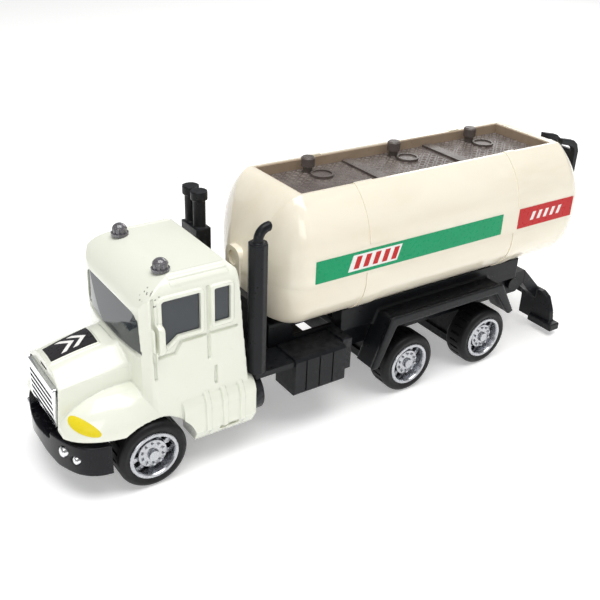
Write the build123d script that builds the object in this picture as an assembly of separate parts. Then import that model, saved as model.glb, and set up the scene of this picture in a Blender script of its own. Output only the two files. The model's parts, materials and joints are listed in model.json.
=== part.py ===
from build123d import *
import os

# A toy tanker truck. +X is forward, +Y is the truck's left side, +Z is up and z = 0 is the floor.
# Millimetres. The origin lies on the floor, midway between nose and tail.

# Whole truck
LENGTH = 170.6
NOSE_X = LENGTH / 2
TAIL_X = -LENGTH / 2

# Wheels and axles
WHEEL_R = 8.5
TYRE_WIDTH = 7.4
TYRE_SEAT_R = 5.7
RIM_LIP_R = 6.05
AXLE_R = 0.95
BEARING_PLAY = 0.05
FRONT_AXLE_X = NOSE_X - 20.5
MIDDLE_AXLE_X = FRONT_AXLE_X - 76.1
REAR_AXLE_X = FRONT_AXLE_X - 104.4
FRONT_WHEEL_FACE_Y = 19.3
REAR_WHEEL_FACE_Y = 18.7
BEARING_FACE_Y = 10.8
SLOT_COUNT = 10

# Cab
WALL = 1.3
GLASS = 0.9
CAB_SIDE_Y = 17.0
ROOF_Z = 50.4
GRILLE_X = FRONT_AXLE_X + 17.7
NOSE_EDGE_Z = 15.9
BUMPER_END = 9.5
BEACON_X = FRONT_AXLE_X - 7.2
BEACON_Y = 10.9
BEACON_R = 2.1
WINDOW_SILL_Z = 37.0
WINDOW_HEAD_Z = 46.2

# Tank
TANK_HALF_WIDTH = 19.0
TANK_TOP_Z = 61.2
TANK_BOTTOM_Z = 28.0
TANK_SEAM_Z = 40.8
TANK_SHOULDER_Z = 48.0
TANK_BARREL_FRONT_X = FRONT_AXLE_X - 43.0
TANK_BARREL_REAR_X = FRONT_AXLE_X - 130.5
TANK_FRONT_REACH = 11.5
TANK_REAR_REACH = 16.0
# How far the top falls, the sides close in and the bottom rises towards each tip of the tank,
# then the power of the top's fall: 2 keeps the top high for longer than 1.3
FRONT_TAPER = (19.0, 16.0, 5.0, 2.0)
REAR_TAPER = (22.0, 16.0, 8.0, 1.3)
TANK_WALL = 1.3
LUG_BOTTOM_Z = 34.5
LUG_TOP_Z = 46.4
LUG_HALF_WIDTH = 3.3
SHELL_STEP = 0.4
DECK_FRONT_X = FRONT_AXLE_X - 43.5
DECK_REAR_X = FRONT_AXLE_X - 128.4
DECK_HALF_WIDTH = 10.7
DECK_FLOOR_Z = 58.5
DECK_PLATE = 1.0
LID_Y = -3.4
FILLER_Y = -7.4

# Chassis
RAIL_INNER_Y = 6.5
RAIL_OUTER_Y = 10.0
RAIL_BOTTOM_Z = 14.5
RAIL_TOP_Z = 21.0
FRAME_REAR_X = FRONT_AXLE_X - 128.0
BED_TOP_Z = 27.6
GUARD_OUTER_Y = 19.0
STACK_X = FRONT_AXLE_X - 28.2
STACK_Y = 16.8
LADDER_RAIL_Y = 3.3
KEEPER_TOP_Z = WHEEL_R - 3.0
KEEPER_BOTTOM_Z = WHEEL_R - 5.3
KEEPER_SCREW_Y = 7.5
KEEPER_SEAT_Z = KEEPER_BOTTOM_Z + 1.1
FRAME_SEAT_Z = RAIL_BOTTOM_Z + 1.4
SCREW_HEAD_R = 1.5


def xz(points, y0, y1):
    """A closed side-view outline of (x, z) points, solid from y0 to y1."""
    return extrude(Plane.XZ.offset(-y1) * make_face(Polyline(points, close=True)), y1 - y0)


def yz(points, x0, x1):
    """A closed front-view outline of (y, z) points, solid from x0 to x1."""
    return extrude(Plane.YZ.offset(x0) * make_face(Polyline(points, close=True)), x1 - x0)


def xy(points, z0, z1):
    """A closed plan outline of (x, y) points, solid from z0 to z1."""
    return extrude(Plane.XY.offset(z0) * make_face(Polyline(points, close=True)), z1 - z0)


def block(x0, x1, y0, y1, z0, z1):
    """A box between two corners."""
    return Pos((x0 + x1) / 2, (y0 + y1) / 2, (z0 + z1) / 2) * Box(x1 - x0, y1 - y0, z1 - z0)


def rod_y(x, z, radius, y0, y1):
    """A round bar along Y."""
    return Pos(x, (y0 + y1) / 2, z) * Rot(90, 0, 0) * Cylinder(radius, y1 - y0)


def rod_z(x, y, radius, z0, z1):
    """A round bar along Z."""
    return Pos(x, y, (z0 + z1) / 2) * Cylinder(radius, z1 - z0)


def rod_x(y, z, radius, x0, x1):
    """A round bar along X."""
    return Pos((x0 + x1) / 2, y, z) * Rot(0, 90, 0) * Cylinder(radius, x1 - x0)


def both_sides(shape):
    """The shape and its mirror image across the truck's centre plane."""
    return shape + mirror(shape, about=Plane.XZ)


# ---------------------------------------------------------------- cab

def cabin(inset):
    """The cabin block with every face moved inwards: side, front and plan views intersected."""
    x = FRONT_AXLE_X
    side = make_face([
        Polyline((x + 0.8, 43.4), (x + 0.6, 42.6), (x + 1.6, 32.0), (x + 1.6, 15), (x - 25.7, 15),
                 (x - 25.4, 21), (x - 23.2, ROOF_Z - 1.4), (x - 21.8, ROOF_Z), (x - 9.5, ROOF_Z)),
        ThreePointArc((x - 9.5, ROOF_Z), (x - 2.9, 48.4), (x + 0.8, 43.4))])
    front = make_face([
        Polyline((-11.8, ROOF_Z), (11.8, ROOF_Z)),
        ThreePointArc((11.8, ROOF_Z), (15.5, 49.3), (17.0, 46.3)),
        Polyline((17.0, 46.3), (17.05, 35.0), (17.6, 22.0), (18.1, 15.0), (-18.1, 15.0),
                 (-17.6, 22.0), (-17.05, 35.0), (-17.0, 46.3)),
        ThreePointArc((-17.0, 46.3), (-15.5, 49.3), (-11.8, ROOF_Z))])
    plan = make_face([
        Polyline((x - 26, -19), (x - 26, 19), (x - 4.0, 19), (x - 1.2, 16.9), (x + 0.2, 15.0)),
        ThreePointArc((x + 0.2, 15.0), (x + 1.6, 0), (x + 0.2, -15.0)),
        Polyline((x + 0.2, -15.0), (x - 1.2, -16.9), (x - 4.0, -19), (x - 26, -19))])
    faces = [offset(face, -inset) if inset else face for face in (side, front, plan)]
    along_y = extrude(Plane.XZ.offset(-20) * faces[0], 40)
    along_x = extrude(Plane.YZ.offset(x - 30) * faces[1], 40)
    along_z = extrude(Plane.XY.offset(10) * faces[2], 50)
    return along_y & along_x & along_z


def hood(inset):
    """The sloping hood with its crowned top, from the windscreen to the grille."""
    x = FRONT_AXLE_X

    def section(at, crease_z, crown_z, half_width):
        half_width -= inset
        crease_z -= inset
        crown_z -= inset
        return Plane.YZ.offset(at) * make_face([
            Polyline((-half_width, 14.4), (-half_width, crease_z)),
            ThreePointArc((-half_width, crease_z), (0, crown_z), (half_width, crease_z)),
            Polyline((half_width, crease_z), (half_width, 14.4), (-half_width, 14.4))])

    return loft([
        section(x - 1.0, 28.6, 33.4, 10.6),
        section(x + 9.0, 27.8, 31.8, 10.3),
        section(x + 18.4 - inset, 26.4, 29.3, 9.6)])


def fender(inset):
    """One bulging front fender, left side."""
    x = FRONT_AXLE_X
    bulge = scale(Sphere(1), by=(16.0 - inset, 9.7 - inset, 10.6 - inset))
    bulge = Pos(x + 3.2, 9.8, 13.8) * bulge
    return bulge & block(x - 13, x + 20, 2, 21, 14.4, 30)


def nose_trim():
    """What the raked nose and its raised lower edge leave out of hood and fenders."""
    x = FRONT_AXLE_X
    rake = xz([(x + 16.9, 31), (x + 18.3, NOSE_EDGE_Z), (x + 22, NOSE_EDGE_Z), (x + 22, 31)], -22, 22)
    return rake + block(x + 5, x + 22, -22, 22, 10, NOSE_EDGE_Z)


def wheel_arch():
    """The clear space around one front wheel, left side."""
    arch = Plane.XZ.offset(-22) * (Pos(FRONT_AXLE_X - 0.2, 8.3) * Ellipse(10.9, 9.5))
    return extrude(arch, 11.6)


def side_step():
    """The D-shaped tank casing below one door with its upright ribs and slot, left side."""
    x = FRONT_AXLE_X

    def casing(grow, x0, x1):
        side = 19.1 + grow
        return extrude(Plane.YZ.offset(x0) * make_face([
            Polyline((17.2, 7.4), (11.0, 7.4), (11.0, 20.9), (14.6, 20.9 + grow)),
            ThreePointArc((14.6, 20.9 + grow), (17.9 + grow, 19.6 + grow), (side, 16.0)),
            Polyline((side, 16.0), (side, 10.6), (17.2, 7.4))]), x1 - x0)

    ribs = [casing(0.5, x + at - 0.6, x + at + 0.6) for at in (-14.0, -18.4, -23.0)]
    slot = block(x - 22.4, x - 17.5, 15.0, 20, 8.9, 10.2)
    return casing(0, x - 27.0, x - 8.0) + ribs - slot


def door_window():
    """Outline of the door window, with the dip in its sill behind the mirror."""
    x = FRONT_AXLE_X
    return Polyline(
        (x - 4.1, WINDOW_HEAD_Z - 0.4), (x - 4.1, 35.6), (x - 5.2, 35.0), (x - 7.9, WINDOW_SILL_Z),
        (x - 13.4, WINDOW_SILL_Z), (x - 13.4, WINDOW_HEAD_Z), (x - 4.6, WINDOW_HEAD_Z), close=True)


def rear_window():
    """Outline of the small window behind the door."""
    x = FRONT_AXLE_X
    return Polyline(
        (x - 16.9, WINDOW_HEAD_Z), (x - 20.9, WINDOW_HEAD_Z), (x - 20.9, WINDOW_SILL_Z + 0.6),
        (x - 16.9, WINDOW_SILL_Z + 0.6), close=True)


def windscreen():
    """Outline of the windscreen seen from the front."""
    return Polyline(
        (-12.4, 42.7), (12.4, 42.7), (14.3, 41.2), (15.1, 33.0), (-15.1, 33.0), (-14.3, 41.2),
        close=True)


def side_prism(outline, grow, y0, y1):
    """A side-view outline, grown outwards, as a solid between y0 and y1."""
    face = make_face(outline)
    face = offset(face, grow) if grow else face
    return extrude(Plane.XZ.offset(-y1) * face, y1 - y0)


def door_lines():
    """The shut lines of one door and the belt line under its windows, left side."""
    x = FRONT_AXLE_X
    width = 0.8
    front = block(x - 2.6, x - 2.6 + width, 14, 20, 27.0, 47.2)
    rear = block(x - 15.9, x - 15.9 + width, 14, 20, 28.6, 47.2)
    rear_low = block(x - 17.4, x - 17.4 + width, 14, 20, 21.6, 26.6)
    belt = xz([(x - 23.0, 34.9), (x - 8.9, 34.9), (x - 7.3, 32.3), (x - 3.0, 32.3), (x - 3.0, 33.0),
               (x - 6.8, 33.0), (x - 8.4, 35.6), (x - 23.0, 35.6)], 14, 20)
    return (front + rear + rear_low + belt) - cabin(0.6)


def cab_features():
    """The raised trims on one side of the cabin: window frames, mirror pod and roof ribs."""
    x = FRONT_AXLE_X
    frames = side_prism(door_window(), 0.9, 16.0, 17.5) + side_prism(rear_window(), 0.9, 16.0, 17.5)
    mirror_pod = block(x - 4.7, x - 1.5, 16.4, 19.2, 33.8, 40.9)
    mirror_pod = fillet(mirror_pod.edges().group_by(Axis.Y)[-1] + mirror_pod.edges().filter_by(Axis.Y), 1.3)
    roof_ribs = [block(x - 21.0, x - 7.0, y - 0.35, y + 0.35, 48.0, ROOF_Z + 1) for y in (13.7, 14.8, 15.9)]
    return frames + mirror_pod + ((Part() + roof_ribs) & cabin(-0.3))


def cab_body():
    """The die-cast cab with hood, fenders and steps, open underneath."""
    x = FRONT_AXLE_X
    shell = cabin(0) + hood(0)
    shell += both_sides(fender(0))
    shell -= nose_trim()
    shell += both_sides(side_step())
    shell += both_sides(cab_features())
    shell += hood_panel(0.3) & (Pos(0, 0, 0.35) * hood(0))
    inside = cabin(WALL) + hood(WALL) + block(x - 30.0, x + 12.6, -10.3, 10.3, 5, 21.3)
    inside += block(x - 24.4, x - 11.5, -16.0, 16.0, 5, 19.5)
    inside += block(x - 6.0, x + 6.0, -11.3, 11.3, 5, 15.8)
    shell -= inside
    shell -= both_sides(wheel_arch())
    shell -= both_sides(door_lines())
    shell -= both_sides(side_prism(door_window(), 0, 14.0, 19.0))
    shell -= both_sides(side_prism(rear_window(), 0, 14.0, 19.0))
    shell -= extrude(Plane.YZ.offset(x - 3.2) * make_face(windscreen()), 6)
    shell -= block(x, x + 2.4, -14.6, 14.6, 32.3, 33.1) - cabin(0.8)
    shell -= grille_opening()
    shell -= both_sides(rod_z(BEACON_X, BEACON_Y, 1.0, ROOF_Z - 4, ROOF_Z + 1))
    post = block(x - 24.6, x - 19.0, -2.4, 2.4, 20.6, 34)
    return shell + post - rod_z(x - 20.6, 0, 0.8, 20, 30)


def hood_panel(grow):
    """The tapering panel in the middle of the hood, seen from above."""
    x = FRONT_AXLE_X
    rear = 3.6 + grow
    front = 2.9 + grow
    return xy([(x + 5.6 - grow, -rear), (x + 16.2 + grow, -front), (x + 16.2 + grow, front),
               (x + 5.6 - grow, rear)], 20, 40)


def grille_opening():
    """The space in the hood's nose that the grille fills."""
    x = FRONT_AXLE_X
    return block(x + 12.6, x + 22, -8.9, 8.9, 11.0, 26.35)


def cab_glazing():
    """The clear moulding inside the cabin, with panes that fill the window openings."""
    x = FRONT_AXLE_X
    gap = 0.03
    band = block(x - 22.4, x + 5, -20, 20, 32.0, 47.9)
    lining = (cabin(WALL + gap) - cabin(WALL + GLASS)) & band
    lining -= block(x - 25, x - 21.5, -20, 20, 30, 50)
    window = cabin(0.35)
    screen = extrude(Plane.YZ.offset(x - 2.2) * offset(make_face(windscreen()), -gap), 6)
    sides = both_sides(side_prism(door_window(), -gap, 15.2, 19) + side_prism(rear_window(), -gap, 15.2, 19))
    panes = (screen + sides) & (window - cabin(WALL + GLASS))
    return lining + panes


def beacon():
    """One roof beacon: flange, fluted dome and the stem in the roof hole."""
    flange = Pos(0, 0, 0.3) * Cylinder(BEACON_R, 0.6)
    dome = Pos(0, 0, 1.0) * Sphere(1.9) & Pos(0, 0, 1.9) * Cylinder(1.75, 3.0)
    flute = Pos(1.75, 0, 2.2) * Cylinder(0.22, 3.0)
    stem = Pos(0, 0, -1.0) * Cylinder(0.95, 2.2)
    return flange + (dome - PolarLocations(0, 10) * flute) + stem


def roof_beacons():
    return both_sides(Pos(BEACON_X, BEACON_Y, ROOF_Z) * beacon())


def grille():
    """Plated grille: a frame with upright sides, a deep top band and level slats."""
    x = GRILLE_X
    frame = fillet(block(x - 1.2, x + 0.6, -8.4, 8.4, 16.3, 26.3).edges().filter_by(Axis.X), 0.6)
    slat_pitch = 1.55
    lowest = 17.5
    for i in range(5):
        z = lowest + slat_pitch * i
        frame -= block(x - 0.4, x + 1, -7.3, 7.3, z - 0.4, z + 0.4)
    return frame


def front_bumper():
    """Glossy bumper wrapped round the nose, with the black surround the grille sits in."""
    x = FRONT_AXLE_X
    outer = [(20.4, 0), (20.1, 4.0), (19.3, 8.0), (17.7, 12.4), (15.7, 15.6), (13.3, 17.4), (BUMPER_END, 18.3)]
    right = [(a, -b) for a, b in outer[1:]]
    edge = Spline([(x + a, b) for a, b in reversed(right)] + [(x + a, b) for a, b in outer])
    plan = make_face([edge, Polyline(edge @ 1, (x + BUMPER_END, 14.0), (x + 14.0, 9.0), (x + 14.0, -9.0),
                                    (x + BUMPER_END, -14.0), edge @ 0)])
    body = extrude(Plane.XY.offset(6.9) * plan, 7.7)
    body &= xz([(x + 9, 6.9), (x + 18.9, 6.9), (x + 20.0, 8.2), (x + 20.5, 10.0), (x + 20.5, 12.6),
                (x + 19.4, 14.6), (x + 9, 14.6)], -20, 20)
    surround = block(x + 13.2, x + 17.6, -8.8, 8.8, 8.0, 26.2)
    surround -= block(GRILLE_X - 1.25, x + 19, -8.45, 8.45, 16.25, 27)
    intake = block(x + 16.6, x + 21, -6.6, 6.6, 13.0, 15.6)
    seats = both_sides(rod_x(11.2, 11.8, 1.35, x + 16.5, x + 22) + rod_x(14.2, 10.7, 1.1, x + 14.5, x + 20))
    return body + surround - intake - seats


def fog_lamp(x, y, z, radius):
    """A round lamp with a domed glass, its rim at x."""
    dome = 0.45 * radius
    profile = make_face(Polyline(
        (0, -1.6), (radius, -1.6), (radius, 0), (0.8 * radius, 0.5 * dome), (0.5 * radius, 0.87 * dome),
        (0.2 * radius, dome), (0, dome), close=True))
    return Pos(x, y, z) * Rot(0, 90, 0) * revolve(Plane.XZ * profile, Axis.Z)


def fog_lamps():
    """Two round plated lamps on each side of the bumper."""
    x = FRONT_AXLE_X
    return both_sides(fog_lamp(x + 18.5, 11.2, 11.8, 1.3) + fog_lamp(x + 16.7, 14.2, 10.7, 1.05))


def hood_label():
    """Dark label on the hood's centre panel."""
    return hood_panel(0) & (Pos(0, 0, 0.5) * hood(0)) - (Pos(0, 0, 0.35) * hood(0))


# ---------------------------------------------------------------- wheels

def axle(x, face_y):
    """Steel axle with the rims pressed on its ends."""
    end = face_y - 1.4
    return rod_y(x, WHEEL_R, AXLE_R, -end, end)


def rim():
    """Plated rim in its own frame: Z is the axle, z = 0 the inner face, z = TYRE_WIDTH the outer."""
    w = TYRE_WIDTH
    profile = make_face(Polyline(
        (AXLE_R, 0), (2.2, 0), (2.2, 3.2), (5.2, 3.2), (5.2, 0.2), (TYRE_SEAT_R, 0.2),
        (TYRE_SEAT_R, w - 0.6), (RIM_LIP_R, w - 0.6), (RIM_LIP_R, w - 0.1), (RIM_LIP_R - 0.15, w + 0.05),
        (5.25, w + 0.05), (5.05, w - 0.3), (4.6, w - 2.3), (3.7, w - 2.3), (3.5, w - 1.2),
        (2.0, w - 0.9), (1.45, w - 0.9), (1.25, w - 0.1), (0, w - 0.1), (0, w - 1.4), (AXLE_R, w - 1.4),
        close=True))
    body = revolve(Plane.XZ * profile, Axis.Z)
    slot = Pos(4.15, 0, w - 3.0) * Box(0.9, 1.5, 3.2)
    body -= PolarLocations(0, SLOT_COUNT) * slot
    nut = Pos(2.7, 0, w - 0.9) * Cylinder(0.32, 0.7)
    return body + PolarLocations(0, SLOT_COUNT, start_angle=18) * nut


def tyre():
    """Tyre in the rim's frame, with rounded shoulders and cross ribs in the tread."""
    w = TYRE_WIDTH
    crown = WHEEL_R
    profile = make_face([
        Polyline((TYRE_SEAT_R, 0.4), (7.2, 0.0)),
        ThreePointArc((7.2, 0.0), (8.1, 0.35), (crown, 1.2)),
        Line((crown, 1.2), (crown, w - 1.3)),
        ThreePointArc((crown, w - 1.3), (8.1, w - 0.4), (7.2, w)),
        Polyline((7.2, w), (RIM_LIP_R + 0.02, w - 0.25), (RIM_LIP_R + 0.02, w - 0.62),
                 (TYRE_SEAT_R, w - 0.62), (TYRE_SEAT_R, 0.4))])
    body = revolve(Plane.XZ * profile, Axis.Z)
    groove = Pos(crown, 0, w / 2) * Box(0.7, 0.7, 3.2)
    return body - PolarLocations(0, 24) * groove


def place_wheel(shape, x, face_y, side):
    """Move a wheel part from its own frame to the left (+1) or right (-1) end of an axle."""
    turn = Rot(-90, 0, 0) if side > 0 else Rot(90, 0, 0)
    return Pos(x, side * (face_y - TYRE_WIDTH), WHEEL_R) * turn * shape


# ---------------------------------------------------------------- tank

def tank_section(x, wall, half_width, taper, t):
    """The tank's cross-section at x; t runs from 0 at the barrel to 1 at the tip of an end."""
    top_fall, side_fall, bottom_rise, power = taper
    top = TANK_TOP_Z - top_fall * t ** power - wall
    bottom = TANK_BOTTOM_Z + bottom_rise * t * t + wall
    side = half_width - side_fall * t * t - wall
    narrowing = side / (half_width - wall)
    deck = (DECK_HALF_WIDTH + 0.8) * narrowing
    foot = 12.5 * narrowing
    seam = TANK_SEAM_Z - 1.0
    shoulder = seam + (TANK_SHOULDER_Z - seam) * (top - seam) / (TANK_TOP_Z - seam)
    upper_mid = (side - 0.30 * (side - deck), top - 0.44 * (top - shoulder))
    lower_mid = (side - 0.28 * (side - foot), bottom + 0.36 * (seam - bottom))
    wire = [
        Line((-foot, bottom), (foot, bottom)),
        ThreePointArc((foot, bottom), lower_mid, (side, seam)),
        Line((side, seam), (side, shoulder)),
        ThreePointArc((side, shoulder), upper_mid, (deck, top)),
        Line((deck, top), (-deck, top)),
        ThreePointArc((-deck, top), (-upper_mid[0], upper_mid[1]), (-side, shoulder)),
        Line((-side, shoulder), (-side, seam)),
        ThreePointArc((-side, seam), (-lower_mid[0], lower_mid[1]), (-foot, bottom))]
    return Plane.YZ.offset(x) * make_face(wire)


def tank_end(x, reach, wall, half_width, taper):
    """One domed end; reach is negative for the rear. Its sections shrink along parabolas."""
    steps = 5
    return loft([tank_section(x + reach * i / steps, wall, half_width, taper, i / steps)
                 for i in range(steps + 1)])


def tank_solid(wall, half_width):
    """The whole tank as a solid, its faces moved inwards by wall."""
    length = TANK_BARREL_FRONT_X - TANK_BARREL_REAR_X
    section = tank_section(TANK_BARREL_REAR_X, wall, half_width, REAR_TAPER, 0)
    barrel = extrude(section, length, dir=(1, 0, 0))
    front = tank_end(TANK_BARREL_FRONT_X, TANK_FRONT_REACH - wall, wall, half_width, FRONT_TAPER)
    rear = tank_end(TANK_BARREL_REAR_X, wall - TANK_REAR_REACH, wall, half_width, REAR_TAPER)
    return barrel + front + rear


def deck_recess(grow):
    return block(DECK_REAR_X - grow, DECK_FRONT_X + grow, -DECK_HALF_WIDTH - grow,
                 DECK_HALF_WIDTH + grow, DECK_FLOOR_Z - DECK_PLATE, TANK_TOP_Z + 1)


def tank_upper_shell():
    """Cream upper half with the deck recess and the upper half of the front lug."""
    above = block(TAIL_X, NOSE_X, -25, 25, TANK_SEAM_Z, 70)
    shell = tank_solid(0, TANK_HALF_WIDTH) - tank_solid(TANK_WALL, TANK_HALF_WIDTH)
    tray = block(DECK_REAR_X - 1.2, DECK_FRONT_X + 1.2, -DECK_HALF_WIDTH - 0.8, DECK_HALF_WIDTH + 0.8,
                 DECK_FLOOR_Z - DECK_PLATE - 1.2, TANK_TOP_Z - TANK_WALL / 2)
    shell = (shell & above) + tray
    above_labels = block(TAIL_X, NOSE_X, -25, 25, 48.6, 70)
    shell += (front_lug() & above) + (rib_bands(TANK_HALF_WIDTH) & above_labels)
    return shell - deck_recess(0) - front_lug_recess()


def rib_bands(half_width):
    """Two low bands round the barrel, each standing proud of a shell of the given half-width."""
    bands = [extrude(tank_section(x, -0.25, half_width, REAR_TAPER, 0), length, dir=(1, 0, 0))
             for x, length in ((FRONT_AXLE_X - 64, 5.5), (FRONT_AXLE_X - 113, 3.5))]
    return Part() + bands - tank_solid(TANK_WALL / 2, half_width)


def front_lug():
    """The rounded lug on the tank's front tip; the seam divides it between the two shells."""
    back = FRONT_AXLE_X - 34.5
    lug = block(back, FRONT_AXLE_X - 31.2, -LUG_HALF_WIDTH, LUG_HALF_WIDTH, LUG_BOTTOM_Z, LUG_TOP_Z)
    lug = fillet(lug.edges().filter_by(Axis.X), 2.4)
    return lug - tank_solid(TANK_WALL, TANK_HALF_WIDTH)


def front_lug_recess():
    """The shallow round dimple in the lug's upper half."""
    return rod_x(0, 43.4, 1.9, FRONT_AXLE_X - 31.9, FRONT_AXLE_X - 30)


def tank_lower_shell():
    """Cream lower half, its rim tucked under the upper half, with two rib bands and two screw bosses."""
    below = block(TAIL_X, NOSE_X, -25, 25, 10, TANK_SEAM_Z)
    width = TANK_HALF_WIDTH - SHELL_STEP
    shell = (tank_solid(0, width) - tank_solid(TANK_WALL, width)) & below
    shell += (rib_bands(width) + front_lug()) & below
    for x in tank_screw_places():
        shell += rod_z(x, 0, 2.4, RAIL_TOP_Z, TANK_BOTTOM_Z + 3)
        shell -= rod_z(x, 0, 0.8, RAIL_TOP_Z - 1, TANK_BOTTOM_Z + 2)
    return shell


def tank_screw_places():
    return FRONT_AXLE_X - 46, FRONT_AXLE_X - 118


def tank_deck():
    """Smoky tread plate in the recess: cross ribs, two raised strips and three low round lids."""
    gap = 0.05
    plate = block(DECK_REAR_X + gap, DECK_FRONT_X - gap, -DECK_HALF_WIDTH + gap, DECK_HALF_WIDTH - gap,
                  DECK_FLOOR_Z - DECK_PLATE, DECK_FLOOR_Z)
    for third in (1 / 3, 2 / 3):
        x = DECK_FRONT_X + third * (DECK_REAR_X - DECK_FRONT_X)
        plate += block(x - 1.6, x + 1.6, -DECK_HALF_WIDTH + 1, DECK_HALF_WIDTH - 1, DECK_FLOOR_Z, DECK_FLOOR_Z + 0.6)
    for x in deck_bays():
        lid = rod_z(x - 1.8, LID_Y, 3.0, DECK_FLOOR_Z, DECK_FLOOR_Z + 0.7)
        lid -= rod_z(x - 1.8, LID_Y, 2.5, DECK_FLOOR_Z + 0.3, DECK_FLOOR_Z + 2)
        plate += lid
        plate -= rod_z(x, FILLER_Y, 1.1, DECK_FLOOR_Z - 2, DECK_FLOOR_Z + 2)
        plate -= rod_z(x, FILLER_Y, 1.45, DECK_FLOOR_Z, DECK_FLOOR_Z + 2)
    return plate


def deck_bays():
    """Middles of the three bays of the deck."""
    length = DECK_FRONT_X - DECK_REAR_X
    return [DECK_FRONT_X - length * (i + 0.5) / 3 for i in range(3)]


def filler_cap():
    """One filler knob: stem, waist and round cap."""
    return revolve(Plane.XZ * make_face(Polyline(
        (0, -0.9), (1.05, -0.9), (1.05, 0), (1.25, 0), (1.25, 1.4), (1.8, 1.7),
        (1.8, 3.8), (1.45, 4.2), (0, 4.2), close=True)), Axis.Z)


def filler_caps():
    caps = [Pos(x, FILLER_Y, DECK_FLOOR_Z) * filler_cap() for x in deck_bays()]
    return Part() + caps


def side_label(x0, x1, z0, z1):
    """A thin label on both sides of the tank."""
    return both_sides(block(x0, x1, TANK_HALF_WIDTH, TANK_HALF_WIDTH + 0.12, z0, z1))


def rear_ladder():
    """Black ladder on the tank's rear, its rails hooked forward over the top."""
    back = TAIL_X
    bar = 1.8
    low = 31.0
    tank_tip = TANK_BARREL_REAR_X - TANK_REAR_REACH
    rail = xz([(back, low), (back, 53.6), (back + 1.1, 56.0), (back + 2.8, 57.3), (back + 8.6, 58.6),
               (back + 8.6, 56.9), (back + 3.8, 55.7), (back + 2.4, 54.8), (back + bar, 53.2),
               (back + bar, low)], LADDER_RAIL_Y - bar / 2, LADDER_RAIL_Y + bar / 2)
    rungs = [block(back + 0.2, back + bar - 0.2, -3, 3, z - 0.8, z + 0.8) for z in range(33, 54, 5)]
    web = block(back + 0.8, back + bar, -3, 3, 36, 53.5)
    stud = rod_x(0, 38.6, 1.2, back + bar - 0.2, tank_tip)
    top_studs = both_sides(rod_x(LADDER_RAIL_Y, 46.0, 0.85, back + bar - 0.2, tank_tip + 6.5))
    top_studs -= tank_solid(-0.03, TANK_HALF_WIDTH)
    return both_sides(rail) + rungs + web + stud + top_studs


# ---------------------------------------------------------------- chassis

def cross_members():
    """Bars between the frame rails, less than 16 mm apart."""
    places = [-124.8, -118, -104.4, -90, -76.1, -61, -46, -33, -20.6, -10, 0, 7.5]
    return [block(FRONT_AXLE_X + at - 3, FRONT_AXLE_X + at + 3, -RAIL_INNER_Y - 1, RAIL_INNER_Y + 1,
                  RAIL_BOTTOM_Z, RAIL_TOP_Z - 0.4 if at < -12 else RAIL_BOTTOM_Z + 3) for at in places]


def side_box():
    """The tool box and battery box ahead of the rear wheels, left side."""
    x = FRONT_AXLE_X
    box = block(x - 53.5, x - 38.3, 9.9, 19.0, 11.0, 21.6)
    box = chamfer(box.edges().filter_by(Axis.X).group_by(Axis.Y)[-1], 0.8)
    box += block(x - 56.2, x - 53.5, 9.9, 17.6, 13.4, 22.3)
    panel_lines = [block(x + at - 0.2, x + at + 0.2, 18.7, 20, 12, 20.8) for at in (-41.5, -45.5, -49.5)]
    shelf = block(x - 41.0, x - 27.3, 9.9, 18.4, 19.6, 21.0)
    return box + shelf - panel_lines


def chassis_frame():
    """Black base: two rails, cross members, axle blocks and side boxes."""
    x = FRONT_AXLE_X
    rail = xz([(FRAME_REAR_X, 16.7), (FRAME_REAR_X + 3, RAIL_BOTTOM_Z), (x - 12, RAIL_BOTTOM_Z),
               (x + 10.5, 12), (x + 10.5, 16), (x - 12, 17), (x - 16, RAIL_TOP_Z), (FRAME_REAR_X, RAIL_TOP_Z)],
              RAIL_INNER_Y, RAIL_OUTER_Y)
    frame = both_sides(rail) + cross_members()
    for ax in (FRONT_AXLE_X, MIDDLE_AXLE_X, REAR_AXLE_X):
        frame += block(ax - 3.6, ax + 3.6, -BEARING_FACE_Y, BEARING_FACE_Y, KEEPER_TOP_Z, RAIL_BOTTOM_Z + 0.5)
    for ax in (FRONT_AXLE_X, MIDDLE_AXLE_X, REAR_AXLE_X):
        frame -= rod_y(ax, WHEEL_R, AXLE_R + BEARING_PLAY, -20, 20)
    frame += both_sides(side_box())
    frame += both_sides(rod_x(13.4, 14.0, 5.2, x - 29.6, x - 27.4))
    frame += both_sides(rod_y(x - 122, 18.3, 1.9, RAIL_OUTER_Y - 0.2, RAIL_OUTER_Y + 1.4))
    for sx in tank_screw_places() + (x - 20.6,):
        frame -= rod_z(sx, 0, 0.95, 5, 25)
        frame -= rod_z(sx, 0, SCREW_HEAD_R + 0.3, 5, FRAME_SEAT_Z)
    for sx, sy in keeper_screw_places():
        frame -= rod_z(sx, sy, 0.75, 2, 12)
    return frame


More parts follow.
